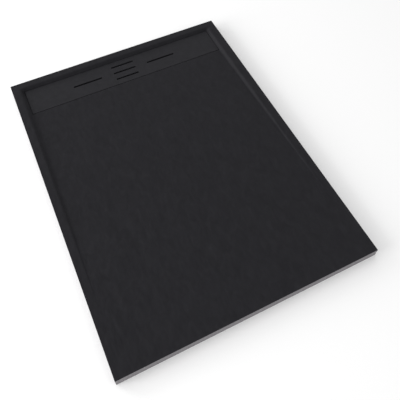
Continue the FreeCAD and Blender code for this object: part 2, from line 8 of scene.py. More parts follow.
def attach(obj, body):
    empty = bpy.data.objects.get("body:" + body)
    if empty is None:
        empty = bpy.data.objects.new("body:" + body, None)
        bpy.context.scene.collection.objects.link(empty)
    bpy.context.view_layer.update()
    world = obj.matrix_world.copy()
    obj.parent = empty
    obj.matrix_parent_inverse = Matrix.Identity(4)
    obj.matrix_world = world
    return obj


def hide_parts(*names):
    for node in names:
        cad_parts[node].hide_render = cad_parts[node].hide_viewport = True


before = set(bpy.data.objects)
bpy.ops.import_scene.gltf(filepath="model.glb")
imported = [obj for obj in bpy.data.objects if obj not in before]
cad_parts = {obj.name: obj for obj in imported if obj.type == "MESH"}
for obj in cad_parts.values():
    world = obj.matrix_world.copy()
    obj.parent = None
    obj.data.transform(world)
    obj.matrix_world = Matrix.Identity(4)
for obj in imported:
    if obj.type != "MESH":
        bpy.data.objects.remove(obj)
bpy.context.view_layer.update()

# ---------------------------------------------------------------------------
# The coat: near-black gelcoat, sprayed into the mould before the resin, with the
# relief of split slate in its face. It covers the rims, the leaning sides, the floor
# that falls to the back, and the well that takes the drain.
# ---------------------------------------------------------------------------

TRAY_WIDTH = 0.900
TRAY_LENGTH = 1.200
RIM_HEIGHT = 0.038
COAT = 0.0012
RIM_SIDE = 0.027
RIM_BACK = 0.025
SIDE_RUN = 0.019
SIDE_RUN_POWER = 0.8
SIDE_LEAST = 0.02
SIDE_SOFTNESS = 0.7
BACK_RUN = 0.012
BASIN_DEPTH = 0.013
FLOOR_FRONT = -0.375
FLOOR_BEND = 0.04
WELL_FRONT, WELL_BACK = 0.435, 0.563
WELL_SIDE = 0.406
WELL_BOTTOM = 0.012
DRAIN_Y = 0.499
SEAT_RADIUS = 0.0565
RIM_EDGE = 0.0008
LIP_EDGE = 0.0011
NEAR = 1e-5


def soft_step(t):
    """A smooth rise from 0 to 1."""
    t = min(max(t, 0.0), 1.0)
    return t * t * (3 - 2 * t)


SLOPE_BEND = 0.45


def rounded_slope(t):
    """A rise from 0 to 1 that starts with a rounded edge and then runs straight."""
    t = min(max(t, 0.0), 1.0)
    slope = 1 / (1 - SLOPE_BEND / 2)
    if t < SLOPE_BEND:
        return slope * t * t / (2 * SLOPE_BEND)
    return slope * (t - SLOPE_BEND / 2)


def floor_depth(y):
    """How far the floor lies under the rim: level in front, then falling to the back."""
    along = (y - FLOOR_FRONT) / (WELL_FRONT - FLOOR_FRONT)
    if along < -FLOOR_BEND:
        return 0.0
    if along < FLOOR_BEND:
        return BASIN_DEPTH * (along + FLOOR_BEND) ** 2 / (4 * FLOOR_BEND)
    return BASIN_DEPTH * min(along, 1.0)


def top_height(x, y):
    """Height of the coat's face before its relief."""
    depth = floor_depth(y)
    side_run = SIDE_RUN * max(depth / BASIN_DEPTH, SIDE_LEAST) ** SIDE_RUN_POWER
    from_side = (TRAY_WIDTH / 2 - RIM_SIDE - abs(x)) / side_run
    from_back = TRAY_LENGTH / 2 - RIM_BACK - y
    side = SIDE_SOFTNESS * soft_step(from_side) + (1 - SIDE_SOFTNESS) * rounded_slope(from_side)
    back = rounded_slope(from_back / BACK_RUN)
    return RIM_HEIGHT - depth * side * back


SLATE_ACROSS, SLATE_ALONG = 58, 31
SLATE_BEND = 0.6
SLATE_LAYERS = 4
SLATE_BREAK = 1.6
SLATE_STEPPED = 0.6
SLATE_SEED = 7
noise.seed_set(SLATE_SEED)


def slate(x, y):
    """Relief of split slate from 0, high, to 1, low, in thin layers that break off lengthwise."""
    at = Vector((x * SLATE_ACROSS, y * SLATE_ALONG, 0.7))
    bend = noise.noise_vector(at * 0.5) * SLATE_BEND
    rolling = noise.fractal(at + bend, 0.7, 2.1, 4) * 0.55 + 0.5
    whole = math.floor(rolling * SLATE_LAYERS)
    within = (rolling * SLATE_LAYERS - whole) * SLATE_BREAK
    stepped = (whole + soft_step(within)) / SLATE_LAYERS
    height = SLATE_STEPPED * stepped + (1 - SLATE_STEPPED) * rolling
    return 1 - min(max(height, 0.0), 1.0)


def lines_along(stops):
    """Positions of a grid's lines: evenly spaced between stops, each with its own pitch."""
    lines = [stops[0][0]]
    for (start, pitch), (end, _) in zip(stops, stops[1:]):
        count = max(1, round((end - start) / pitch))
        lines += [start + (end - start) * (i + 1) / count for i in range(count)]
    return lines


# the grid of the coat's face is finer on the sides, and coarser on its back
PITCH = 0.0038
SIDE_PITCH, FOOT_PITCH, DRAIN_PITCH, BACK_PITCH = 0.0018, 0.0020, 0.0030, 0.0016
BEHIND_PITCH, BEHIND_WIDE, BEHIND_LONG = 0.006, 0.06, 0.04
TRAY_HALF = (TRAY_WIDTH / 2, TRAY_LENGTH / 2)
BEHIND_HALF = (0.430, 0.590)
SIDE_TOP, SIDE_FOOT, BACK_TOP = 0.424, 0.394, 0.576
DRAIN_HALF = 0.060
DRAIN_FRONT, DRAIN_BACK = DRAIN_Y - DRAIN_HALF, DRAIN_Y + DRAIN_HALF
ACROSS = lines_along([
    (-TRAY_HALF[0], PITCH), (-SIDE_TOP, SIDE_PITCH), (-WELL_SIDE, FOOT_PITCH), (-SIDE_FOOT, PITCH),
    (-DRAIN_HALF, DRAIN_PITCH), (DRAIN_HALF, PITCH),
    (SIDE_FOOT, FOOT_PITCH), (WELL_SIDE, SIDE_PITCH), (SIDE_TOP, PITCH), (TRAY_HALF[0], 0),
])
ALONG = lines_along([
    (-TRAY_HALF[1], PITCH), (WELL_FRONT, PITCH), (DRAIN_FRONT, DRAIN_PITCH), (DRAIN_BACK, PITCH),
    (WELL_BACK, BACK_PITCH), (BACK_TOP, PITCH), (TRAY_HALF[1], 0),
])
ACROSS_BEHIND = lines_along([
    (-BEHIND_HALF[0], BEHIND_PITCH), (-SIDE_TOP, FOOT_PITCH), (-WELL_SIDE - COAT, FOOT_PITCH),
    (-SIDE_FOOT, BEHIND_WIDE), (-DRAIN_HALF, DRAIN_PITCH), (DRAIN_HALF, BEHIND_WIDE),
    (SIDE_FOOT, FOOT_PITCH), (WELL_SIDE + COAT, FOOT_PITCH), (SIDE_TOP, BEHIND_PITCH),
    (BEHIND_HALF[0], 0),
])
ALONG_BEHIND = lines_along([
    (-BEHIND_HALF[1], BEHIND_LONG), (WELL_FRONT - COAT, BEHIND_PITCH), (DRAIN_FRONT, DRAIN_PITCH),
    (DRAIN_BACK, BEHIND_PITCH), (WELL_BACK + COAT, DRAIN_PITCH), (BACK_TOP, BEHIND_PITCH),
    (BEHIND_HALF[1], 0),
])


def bend_grid(mesh, across, along):
    """Moves the lines of a square grid of -1 to 1 to the positions given."""
    for corner in mesh.verts:
        column = round((corner.co.x + 1) / 2 * (len(across) - 1))
        row = round((corner.co.y + 1) / 2 * (len(along) - 1))
        corner.co.x, corner.co.y = across[column], along[row]


def corners_of(result):
    """The corners among what a bmesh operator made."""
    return [part for part in result["geom"] if isinstance(part, bmesh.types.BMVert)]


def from_drain(corner):
    """How far a corner lies from the drain's axis."""
    return math.hypot(corner.co.x, corner.co.y - DRAIN_Y)


def set_from_drain(corner, radius):
    """Moves a corner straight in or out to a radius from the drain's axis."""
    outward = Vector((corner.co.x, corner.co.y - DRAIN_Y)).normalized() * radius
    corner.co.xy = outward.x, outward.y + DRAIN_Y


def coat_sheet(across, along, behind):
    """The coat's face, or its back if behind is its thickness, with the well and its hole."""
    sheet = bmesh.new()
    bmesh.ops.create_grid(sheet, x_segments=len(across) - 1, y_segments=len(along) - 1, size=1)
    bend_grid(sheet, across, along)
    for corner in sheet.verts:
        corner.co.z = top_height(corner.co.x, corner.co.y) - behind
    well_faces = []
    for face in sheet.faces:
        middle = face.calc_center_median()
        in_length = WELL_FRONT - behind < middle.y < WELL_BACK + behind
        if in_length and abs(middle.x) < WELL_SIDE + behind:
            well_faces.append(face)
    well = bmesh.ops.extrude_face_region(sheet, geom=well_faces)
    bmesh.ops.delete(sheet, geom=well_faces, context="FACES")
    for corner in corners_of(well):
        corner.co.z = WELL_BOTTOM - behind
    in_square = [
        face for face in sheet.faces
        if abs(face.calc_center_median().x) < DRAIN_HALF
        and abs(face.calc_center_median().y - DRAIN_Y) < DRAIN_HALF
    ]
    bmesh.ops.delete(sheet, geom=in_square, context="FACES")
    square = [
        edge for edge in sheet.edges
        if edge.is_boundary and all(
            max(abs(end.co.x), abs(end.co.y - DRAIN_Y)) < DRAIN_HALF + NEAR for end in edge.verts
        )
    ]
    for corner in corners_of(bmesh.ops.extrude_edge_only(sheet, edges=square)):
        set_from_drain(corner, SEAT_RADIUS)
    seat_edges = [
        edge for edge in sheet.edges
        if edge.is_boundary and all(from_drain(end) < SEAT_RADIUS + NEAR for end in edge.verts)
    ]
    return sheet, seat_edges


def on_outline(corner):
    """Whether a corner lies on the tray's outer sides."""
    x, y, _ = corner.co
    return abs(x) > TRAY_HALF[0] - NEAR or abs(y) > TRAY_HALF[1] - NEAR


def quarter(loop, half, centre, axis, side):
    """The corners of a loop on one of its four sides, in order along that side."""
    line = []
    for corner in loop:
        share = [(corner.co[i] - centre[i]) / half[i] for i in (0, 1)]
        if side * share[axis] > abs(share[1 - axis]) - 1e-4:
            line.append(corner)
    return sorted(line, key=lambda corner: corner.co[1 - axis])


def join_flat(mesh, outer, outer_half, inner, inner_half, inner_centre=(0, 0)):
    """Closes the flat gap between a loop and one inside it, by a face on each of four sides."""
    for axis in (0, 1):
        for side in (-1, 1):
            outside = quarter(outer, outer_half, (0, 0), axis, side)
            inside = quarter(inner, inner_half, inner_centre, axis, side)
            mesh.faces.new(outside + inside[::-1])


coat, seat_edges = coat_sheet(ACROSS, ALONG, 0.0)
for corner in corners_of(bmesh.ops.extrude_edge_only(coat, edges=seat_edges)):
    corner.co.z = WELL_BOTTOM - COAT

# the coat's outer edge turns down over the casting
outer_edges = [
    edge for edge in coat.edges
    if edge.is_boundary and all(end.co.z > RIM_HEIGHT - NEAR for end in edge.verts)
]
for corner in corners_of(bmesh.ops.extrude_edge_only(coat, edges=outer_edges)):
    corner.co.z = RIM_HEIGHT - COAT
bmesh.ops.bevel(
    coat, geom=outer_edges, offset=RIM_EDGE, offset_type="OFFSET",
    affect="EDGES", segments=2, profile=0.5, material=-1,
)


def over_well(corner, margin):
    """Whether a corner lies over the well or within a margin round it."""
    x, y, _ = corner.co
    return abs(x) < WELL_SIDE + margin and WELL_FRONT - margin < y < WELL_BACK + margin


WELL_LIP = WELL_BOTTOM + 0.012
lip_edges = [
    edge for edge in coat.edges
    if all(over_well(end, NEAR) and end.co.z > WELL_LIP for end in edge.verts)
]
bmesh.ops.bevel(
    coat, geom=lip_edges, offset=LIP_EDGE, offset_type="OFFSET",
    affect="EDGES", segments=2, profile=0.5, material=-1,
)

# the relief fades out at the tray's edge, is low on the leaning sides, and leaves the well smooth
RELIEF = 0.0010
RELIEF_ON_SIDES = 0.35
SIDE_FROM, SIDE_TO = 0.08, 0.9
EDGE_FADE = 0.006
for corner in coat.verts:
    x, y, z = corner.co
    to_edge = min(TRAY_HALF[0] - abs(x), TRAY_HALF[1] - abs(y))
    in_well = z < WELL_LIP + 0.0005 and over_well(corner, 0.001)
    on_outer_edge = z < RIM_HEIGHT - COAT + NEAR and to_edge < 0.0005
    if in_well or on_outer_edge:
        continue
    on_side = floor_depth(y) * SIDE_TO > RIM_HEIGHT - z > floor_depth(y) * SIDE_FROM
    amount = RELIEF * soft_step(to_edge / EDGE_FADE) * (RELIEF_ON_SIDES if on_side else 1.0)
    corner.co.z -= amount * slate(x, y)

# the back of the coat lies on the casting, and flat strips join it to the outer edge
back_sheet, _ = coat_sheet(ACROSS_BEHIND, ALONG_BEHIND, COAT)
back_data = bpy.data.meshes.new("coat_back")
back_sheet.to_mesh(back_data)
back_sheet.free()
coat.from_mesh(back_data)
bpy.data.meshes.remove(back_data)
seat_corners = [
    corner for corner in coat.verts
    if corner.is_boundary and abs(corner.co.z - WELL_BOTTOM + COAT) < NEAR
]
bmesh.ops.remove_doubles(coat, verts=seat_corners, dist=NEAR)
open_corners = [corner for corner in coat.verts if corner.is_boundary]
join_flat(
    coat,
    outer=[corner for corner in open_corners if on_outline(corner)], outer_half=TRAY_HALF,
    inner=[corner for corner in open_corners if not on_outline(corner)], inner_half=BEHIND_HALF,
)


def new_finish(name, colour, roughness, specular=0.5, metallic=0.0):
    """An empty finish: one Principled shader with its plain numbers set on its own sockets."""
    finish = bpy.data.materials.new(name)
    finish.use_nodes = True
    shader = finish.node_tree.nodes["Principled BSDF"]
    shader.inputs["Base Color"].default_value = (*colour, 1)
    shader.inputs["Roughness"].default_value = roughness
    shader.inputs["Specular IOR Level"].default_value = specular
    shader.inputs["Metallic"].default_value = metallic
    return finish, finish.node_tree, shader


def place_pattern(tree, stretch=(1, 1, 1)):
    """Object coordinates, stretched, for a pattern that stays on its piece."""
    where = tree.nodes.new("ShaderNodeTexCoord")
    mapping = tree.nodes.new("ShaderNodeMapping")
    mapping.inputs["Scale"].default_value = stretch
    tree.links.new(where.outputs["Object"], mapping.inputs["Vector"])
    return mapping.outputs["Vector"]


def grain(tree, at, scale, detail=4.0, roughness=0.55, distortion=0.0):
    """Soft cloudy noise."""
    node = tree.nodes.new("ShaderNodeTexNoise")
    node.inputs["Scale"].default_value = scale
    node.inputs["Detail"].default_value = detail
    node.inputs["Roughness"].default_value = roughness
    node.inputs["Distortion"].default_value = distortion
    tree.links.new(at, node.inputs["Vector"])
    return node.outputs["Fac"]


def spread(tree, value, stops):
    """A ramp from a pattern's value to colours, given as (position, colour) pairs."""
    node = tree.nodes.new("ShaderNodeValToRGB")
    ramp = node.color_ramp
    while len(ramp.elements) < len(stops):
        ramp.elements.new(0.5)
    for element, (position, colour) in zip(ramp.elements, stops):
        element.position = position
        element.color = (*colour, 1)
    tree.links.new(value, node.inputs["Fac"])
    return node.outputs["Color"]


def between(tree, value, low, high):
    """The middle half of a pattern's values, spread out to run from low to high."""
    node = tree.nodes.new("ShaderNodeMapRange")
    node.inputs["From Min"].default_value = 0.25
    node.inputs["From Max"].default_value = 0.75
    node.inputs["To Min"].default_value = low
    node.inputs["To Max"].default_value = high
    tree.links.new(value, node.inputs["Value"])
    return node.outputs["Result"]


def raise_by(tree, shader, value, height, strength=1.0, under=None):
    """Fine relief from a pattern, with its height in metres."""
    node = tree.nodes.new("ShaderNodeBump")
    node.inputs["Strength"].default_value = strength
    node.inputs["Distance"].default_value = height
    tree.links.new(value, node.inputs["Height"])
    if under is not None:
        tree.links.new(under, node.inputs["Normal"])
    tree.links.new(node.outputs["Normal"], shader.inputs["Normal"])
    return node.outputs["Normal"]


def finish_piece(name, mesh, finish, body, node, smooth):
    """Makes a finished mesh an object that rides on a body and stands for a CAD node."""
    bmesh.ops.recalc_face_normals(mesh, faces=mesh.faces)
    data = bpy.data.meshes.new(name)
    mesh.to_mesh(data)
    mesh.free()
    data.materials.append(finish)
    piece = bpy.data.objects.new(name, data)
    bpy.context.collection.objects.link(piece)
    data.polygons.foreach_set("use_smooth", [True] * len(data.polygons))
    data.set_sharp_from_angle(angle=math.radians(smooth))
    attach(piece, body)
    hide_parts(node)


SLATE_BLACK = (0.0122, 0.0119, 0.0141)
SLATE_GREY = (0.0149, 0.0146, 0.0171)
SLATE_WORN = (0.0182, 0.0179, 0.0208)
slate_coat, tree, shader = new_finish("slate_coat", SLATE_BLACK, roughness=0.5, specular=0.09)
at = place_pattern(tree, stretch=(1, 0.5, 1))
veins = grain(tree, at, scale=46, detail=7, roughness=0.6, distortion=0.8)
sandy = grain(tree, at, scale=420, detail=3)
tree.links.new(
    spread(tree, veins, [(0.3, SLATE_BLACK), (0.55, SLATE_GREY), (0.8, SLATE_WORN)]),
    shader.inputs["Base Color"],
)
tree.links.new(between(tree, veins, low=0.45, high=0.56), shader.inputs["Roughness"])
coarse = raise_by(tree, shader, veins, height=0.0012, strength=0.3)
raise_by(tree, shader, sandy, height=0.0003, strength=0.35, under=coarse)

finish_piece("slate_coat", coat, slate_coat, "tray", "slate_skin", smooth=50)

# ---------------------------------------------------------------------------
# The casting: mineral-filled resin, poured onto the coat face down in the mould and
# sawn to size. Its flecked sides show as a pale strip under the dark coat. A stepped
# hole seats the waste flange and its washer, and the recess below it takes the trap.
# ---------------------------------------------------------------------------


def cells(tree, at, scale):
    """Distance to the nearest of many scattered points, for flecks and pores."""
    node = tree.nodes.new("ShaderNodeTexVoronoi")
    node.inputs["Scale"].default_value = scale
    tree.links.new(at, node.inputs["Vector"])
    return node.outputs["Distance"]


RAW_RESIN = (0.215, 0.205, 0.215)
FLECK_DARK = (0.178, 0.170, 0.181)
FLECK_PALE = (0.262, 0.250, 0.264)
raw_resin, tree, shader = new_finish("raw_resin", RAW_RESIN, roughness=0.72, specular=0.3)
at = place_pattern(tree)
cloudy = grain(tree, at, scale=110, detail=7, roughness=0.65)
flecks = cells(tree, at, scale=520)
tree.links.new(
    spread(tree, cloudy, [(0.3, FLECK_DARK), (0.52, RAW_RESIN), (0.78, FLECK_PALE)]),
    shader.inputs["Base Color"],
)
tree.links.new(between(tree, flecks, low=0.62, high=0.8), shader.inputs["Roughness"])
raise_by(tree, shader, flecks, height=0.0004, strength=0.35)

SEAT_FLOOR = 0.0085
HOLE_RADIUS = 0.045
RECESS_RADIUS = 0.065
RECESS_DEPTH = 0.001
HOLE_STEPS = [
    (SEAT_RADIUS, SEAT_FLOOR), (HOLE_RADIUS, SEAT_FLOOR), (HOLE_RADIUS, RECESS_DEPTH),
    (RECESS_RADIUS, RECESS_DEPTH), (RECESS_RADIUS, 0.0),
]
SIDE_LEVELS = (0.0345, 0.031, 0.0265, 0.022, 0.0175, 0.013, 0.0085, 0.004, 0.0015, 0.0)
SAW_MARKS = 0.0004
SAW_ALONG, SAW_UP = 70, 160


def boundary_of(result):
    """The open edges among what a bmesh operator made."""
    edges = [part for part in result["geom"] if isinstance(part, bmesh.types.BMEdge)]
    return [edge for edge in edges if edge.is_boundary]


casting, hole_edges = coat_sheet(ACROSS_BEHIND, ALONG_BEHIND, COAT)
top_loop = [
    corner for corner in casting.verts
    if abs(corner.co.x) > BEHIND_HALF[0] - NEAR or abs(corner.co.y) > BEHIND_HALF[1] - NEAR
]
for radius, height in HOLE_STEPS:
    made = bmesh.ops.extrude_edge_only(casting, edges=hole_edges)
    for corner in corners_of(made):
        set_from_drain(corner, radius)
        corner.co.z = height
    hole_edges = boundary_of(made)
hole_loop = list({corner for edge in hole_edges for corner in edge.verts})

side_x = lines_along([(-TRAY_HALF[0], BEHIND_PITCH), (TRAY_HALF[0], 0)])
side_y = lines_along([(-TRAY_HALF[1], BEHIND_PITCH), (TRAY_HALF[1], 0)])
outline = [(x, side_y[0]) for x in side_x] + [(side_x[-1], y) for y in side_y[1:]]
outline += [(x, side_y[-1]) for x in side_x[-2::-1]] + [(side_x[0], y) for y in side_y[-2:0:-1]]
side_top = [casting.verts.new((x, y, RIM_HEIGHT - COAT)) for x, y in outline]
side_edges = [casting.edges.new((side_top[i - 1], side_top[i])) for i in range(len(side_top))]
join_flat(
    casting, outer=side_top, outer_half=TRAY_HALF, inner=top_loop, inner_half=BEHIND_HALF,
)
for height in SIDE_LEVELS:
    made = bmesh.ops.extrude_edge_only(casting, edges=side_edges)
    side_edges = boundary_of(made)
    side_bottom = corners_of(made)
    for corner in side_bottom:
        corner.co.z = height
join_flat(
    casting, outer=side_bottom, outer_half=TRAY_HALF,
    inner=hole_loop, inner_half=(RECESS_RADIUS, RECESS_RADIUS), inner_centre=(0, DRAIN_Y),
)
for corner in casting.verts:
    x, y, z = corner.co
    if 0.001 < z < RIM_HEIGHT - COAT - 0.001 and on_outline(corner):
        at = Vector((x * SAW_ALONG, y * SAW_ALONG, z * SAW_UP))
        depth = SAW_MARKS * min(max(noise.fractal(at, 0.8, 2.0, 3) + 0.5, 0), 1)
        corner.co.x -= math.copysign(depth, x) if abs(x) > TRAY_HALF[0] - NEAR else 0
        corner.co.y -= math.copysign(depth, y) if abs(y) > TRAY_HALF[1] - NEAR else 0
finish_piece("casting", casting, raw_resin, "tray", "tray_core", smooth=30)

# ---------------------------------------------------------------------------
# The drain cover: a loose slab of the same resin that lies in the well on rubber
# feet, level with the low end of the floor, with five slots for the water.
# ---------------------------------------------------------------------------

COVER_GAP = 0.0015
COVER_SIDE = WELL_SIDE - COVER_GAP
COVER_FRONT, COVER_BACK = WELL_FRONT + COVER_GAP, WELL_BACK - COVER_GAP
COVER_TOP = RIM_HEIGHT - BASIN_DEPTH
COVER_THICKNESS = 0.008
COVER_UNDER = COVER_TOP - COVER_THICKNESS
COVER_EDGE = 0.0012
COVER_SHARP = math.radians(60)
COVER_PITCH = 0.0026
SLOT_HALF = 0.004
LONG_SLOT, LONG_SLOT_X = 0.122, 0.1595
SHORT_SLOT, SHORT_SLOT_STEP = 0.098, 0.034
SLOTS = [(side * LONG_SLOT_X, 0.0, LONG_SLOT) for side in (-1, 1)]
SLOTS += [(0.0, step * SHORT_SLOT_STEP, SHORT_SLOT) for step in (-1, 0, 1)]
TOOL_UNDER, TOOL_HEIGHT = 0.011, 0.020


def gathered(meshes):
    """Several loose meshes as one."""
    whole = bmesh.new()
    for mesh in meshes:
        data = bpy.data.meshes.new("gathered")
        mesh.to_mesh(data)
        mesh.free()
        whole.from_mesh(data)
        bpy.data.meshes.remove(data)
    return whole


def combined(blank, tools, operation):
    """Joins tools to a blank, or cuts them out of it."""
    things = []
    for mesh in (blank, gathered(tools)):
        bmesh.ops.recalc_face_normals(mesh, faces=mesh.faces)
        data = bpy.data.meshes.new("blank")
        mesh.to_mesh(data)
        mesh.free()
        things.append(bpy.data.objects.new("blank", data))
        bpy.context.collection.objects.link(things[-1])
    work = things[0].modifiers.new("work", "BOOLEAN")
    work.operation = operation
    work.solver = "MANIFOLD"
    work.object = things[1]
    evaluated = things[0].evaluated_get(bpy.context.evaluated_depsgraph_get())
    made = bpy.data.meshes.new_from_object(evaluated)
    for thing in things:
        bpy.data.meshes.remove(thing.data)
    shaped = bmesh.new()
    shaped.from_mesh(made)
    bpy.data.meshes.remove(made)
    return shaped


def slot_tool(x, y, length):
    """A bar with round ends, as the cutter that makes a slot."""
    tool = bmesh.new()
    bmesh.ops.create_circle(tool, cap_ends=False, radius=SLOT_HALF, segments=24)
    right_half = [corner for corner in tool.verts if corner.co.x > NEAR]
    left_half = [corner for corner in tool.verts if corner.co.x < -NEAR]
    straight = length / 2 - SLOT_HALF
    bmesh.ops.translate(tool, verts=right_half, vec=(straight, 0, 0))
    bmesh.ops.translate(tool, verts=left_half, vec=(-straight, 0, 0))
    bmesh.ops.edgeloop_fill(tool, edges=tool.edges[:])
    up = corners_of(bmesh.ops.extrude_face_region(tool, geom=tool.faces[:]))
    bmesh.ops.translate(tool, verts=up, vec=(0, 0, TOOL_HEIGHT))
    bmesh.ops.translate(tool, verts=tool.verts[:], vec=(x, y + DRAIN_Y, TOOL_UNDER))
    return tool


cover = bmesh.new()
cover_across = lines_along([(-COVER_SIDE, COVER_PITCH), (COVER_SIDE, 0)])
cover_along = lines_along([(COVER_FRONT, COVER_PITCH), (COVER_BACK, 0)])
bmesh.ops.create_grid(
    cover, x_segments=len(cover_across) - 1, y_segments=len(cover_along) - 1, size=1,
)
bend_grid(cover, cover_across, cover_along)
bmesh.ops.translate(cover, verts=cover.verts[:], vec=(0, 0, COVER_TOP))
cover_rim = [edge for edge in cover.edges if edge.is_boundary]
for corner in corners_of(bmesh.ops.extrude_edge_only(cover, edges=cover_rim)):
    corner.co.z = COVER_UNDER
bmesh.ops.edgeloop_fill(cover, edges=[edge for edge in cover.edges if edge.is_boundary])
cover = combined(cover, [slot_tool(*size) for size in SLOTS], "DIFFERENCE")
cover_edges = [
    edge for edge in cover.edges
    if edge.is_manifold and edge.calc_face_angle(0) > COVER_SHARP
    and all(end.co.z > COVER_TOP - NEAR for end in edge.verts)
]
bmesh.ops.bevel(
    cover, geom=cover_edges, offset=COVER_EDGE, offset_type="OFFSET",
    affect="EDGES", segments=2, profile=0.5, material=-1, clamp_overlap=True,
)
bmesh.ops.dissolve_degenerate(cover, dist=2e-5, edges=cover.edges[:])

# the mould leaves the top a little uneven
COVER_RELIEF = 0.00025
COVER_ACROSS, COVER_ALONG = 60, 45
for corner in cover.verts:
    x, y, z = corner.co
    if z > COVER_TOP - 0.0003:
        at = Vector((x * COVER_ACROSS, y * COVER_ALONG, 9.0))
        rolling = noise.fractal(at, 0.8, 2.0, 3) * 0.5 + 0.5
        corner.co.z -= COVER_RELIEF * min(max(rolling, 0.0), 1.0)

COVER_BLACK = (0.0145, 0.0143, 0.0166)
COVER_GREY = (0.0190, 0.0187, 0.0216)
cover_resin, tree, shader = new_finish("cover_resin", COVER_BLACK, roughness=0.48, specular=0.12)
at = place_pattern(tree)
mottled = grain(tree, at, scale=60, detail=5)
fine = grain(tree, at, scale=650, detail=2)
tree.links.new(
    spread(tree, mottled, [(0.32, COVER_BLACK), (0.7, COVER_GREY)]), shader.inputs["Base Color"],
)
tree.links.new(between(tree, mottled, low=0.44, high=0.56), shader.inputs["Roughness"])
raise_by(tree, shader, fine, height=0.00025, strength=0.3)
finish_piece("cover_slab", cover, cover_resin, "cover", "drain_cover", smooth=40)

# ---------------------------------------------------------------------------
# Rubber: short cone feet with a dimple, moulded and glued under the cover, and the
# flat rings that seal the drain and its trap.
# ---------------------------------------------------------------------------

OUTLET_Z = -0.037
DRAIN_AXIS = (0, DRAIN_Y, 0)
OUTLET_AXIS = (0, DRAIN_Y, OUTLET_Z)
SHARP = math.radians(35)


def lathe(outline, at=DRAIN_AXIS, level=False, segments=96):
    """Turns an outline of (radius, height) points round an upright axis, or a level one."""
    turned = bmesh.new()
    corners = [turned.verts.new((radius, 0, height)) for radius, height in outline]
    lines = [
        turned.edges.new((corners[i - 1], corners[i])) for i in range(len(corners))
        if outline[i - 1][0] > 0 or outline[i][0] > 0
    ]
    bmesh.ops.spin(
        turned, geom=corners + lines, cent=(0, 0, 0), axis=(0, 0, 1), angle=2 * math.pi,
        steps=segments, use_merge=True,
    )
    bmesh.ops.remove_doubles(turned, verts=turned.verts[:], dist=1e-7)
    if level:
        onto_side = Matrix.Rotation(math.radians(-90), 3, "Y")
        bmesh.ops.rotate(turned, verts=turned.verts[:], cent=(0, 0, 0), matrix=onto_side)
    bmesh.ops.translate(turned, verts=turned.verts[:], vec=at)
    bmesh.ops.recalc_face_normals(turned, faces=turned.faces)
    return turned


def soften(mesh, width):
    """Rounds every sharp edge."""
    sharp = [
        edge for edge in mesh.edges
        if edge.is_manifold and edge.calc_face_angle(0) > SHARP
    ]
    bmesh.ops.bevel(
        mesh, geom=sharp, offset=width, offset_type="OFFSET",
        affect="EDGES", segments=2, profile=0.5, material=-1, clamp_overlap=True,
    )
    bmesh.ops.remove_doubles(mesh, verts=mesh.verts[:], dist=2e-6)
    bmesh.ops.dissolve_degenerate(mesh, dist=2e-6, edges=mesh.edges[:])
    return mesh


def ring(inside, outside, low, high):
    """The outline of a flat ring."""
    return [(inside, low), (outside, low), (outside, high), (inside, high)]


RUBBER_DARK = (0.014, 0.014, 0.0145)
RUBBER_BLOOM = (0.030, 0.030, 0.031)
rubber, tree, shader = new_finish("rubber", RUBBER_DARK, roughness=0.8, specular=0.25)
at = place_pattern(tree)
bloom = grain(tree, at, scale=120, detail=5)
pores = grain(tree, at, scale=1500, detail=2)
tree.links.new(
    spread(tree, bloom, [(0.35, RUBBER_DARK), (0.75, RUBBER_BLOOM)]), shader.inputs["Base Color"],
)
tree.links.new(between(tree, bloom, low=0.74, high=0.9), shader.inputs["Roughness"])
raise_by(tree, shader, pores, height=0.0001, strength=0.4)

FOOT_RADIUS = 0.0100
FOOT = [
    (0, 0.0130), (0.0035, 0.0127), (0.0050, 0.0122), (0.0085, 0.0122), (0.0091, 0.0127),
    (FOOT_RADIUS, COVER_UNDER - 0.0003), (FOOT_RADIUS, COVER_UNDER), (0, COVER_UNDER),
]
FOOT_OUT_X, FOOT_OUT_Y = 0.3795, 0.0485
number = 0
for foot_y in (-FOOT_OUT_Y, FOOT_OUT_Y):
    for foot_x in (-FOOT_OUT_X, -FOOT_OUT_X / 3, FOOT_OUT_X / 3, FOOT_OUT_X):
        number += 1
        foot = lathe(FOOT, at=(foot_x, DRAIN_Y + foot_y, 0), segments=48)
        foot = soften(foot, width=0.0003)
        finish_piece(
            f"foot_{number}", foot, rubber, "cover", f"cover_foot_{number}", smooth=40,
        )

FLANGE_RADIUS = 0.056
FLANGE_UNDER = 0.0095
WASHER_INSIDE = HOLE_RADIUS + 0.001
TRAP_WASHER_RADIUS = 0.061
TRAP_TOP = -0.001
BRANCH_END = 0.080
NUT_SHOULDER = 0.088
flange_washer = lathe(ring(WASHER_INSIDE, FLANGE_RADIUS, low=SEAT_FLOOR, high=FLANGE_UNDER))
trap_washer = lathe(ring(WASHER_INSIDE, TRAP_WASHER_RADIUS, low=TRAP_TOP, high=RECESS_DEPTH))
tube_washer = lathe(ring(0.0257, 0.0278, low=-0.005, high=-0.002))
nut_washer = lathe(
    ring(0.0198, 0.0268, low=BRANCH_END, high=NUT_SHOULDER), at=OUTLET_AXIS, level=True,
)
for name, washer, edge, node in (
    ("flange_washer", flange_washer, 0.0003, "flange_gasket"),
    ("trap_washer", trap_washer, 0.0005, "trap_gasket"),
    ("tube_washer", tube_washer, 0.0006, "dip_tube_seal"),
    ("nut_washer", nut_washer, 0.0006, "outlet_seal"),
):
    washer = soften(washer, width=edge)
    finish_piece(name, washer, rubber, "tray", node, smooth=40)

# ---------------------------------------------------------------------------
# Steel: the pressed flange in the well with its countersunk holes, the four screws
# that pull the trap up, and the punched strainer. All brushed stainless sheet.
# ---------------------------------------------------------------------------

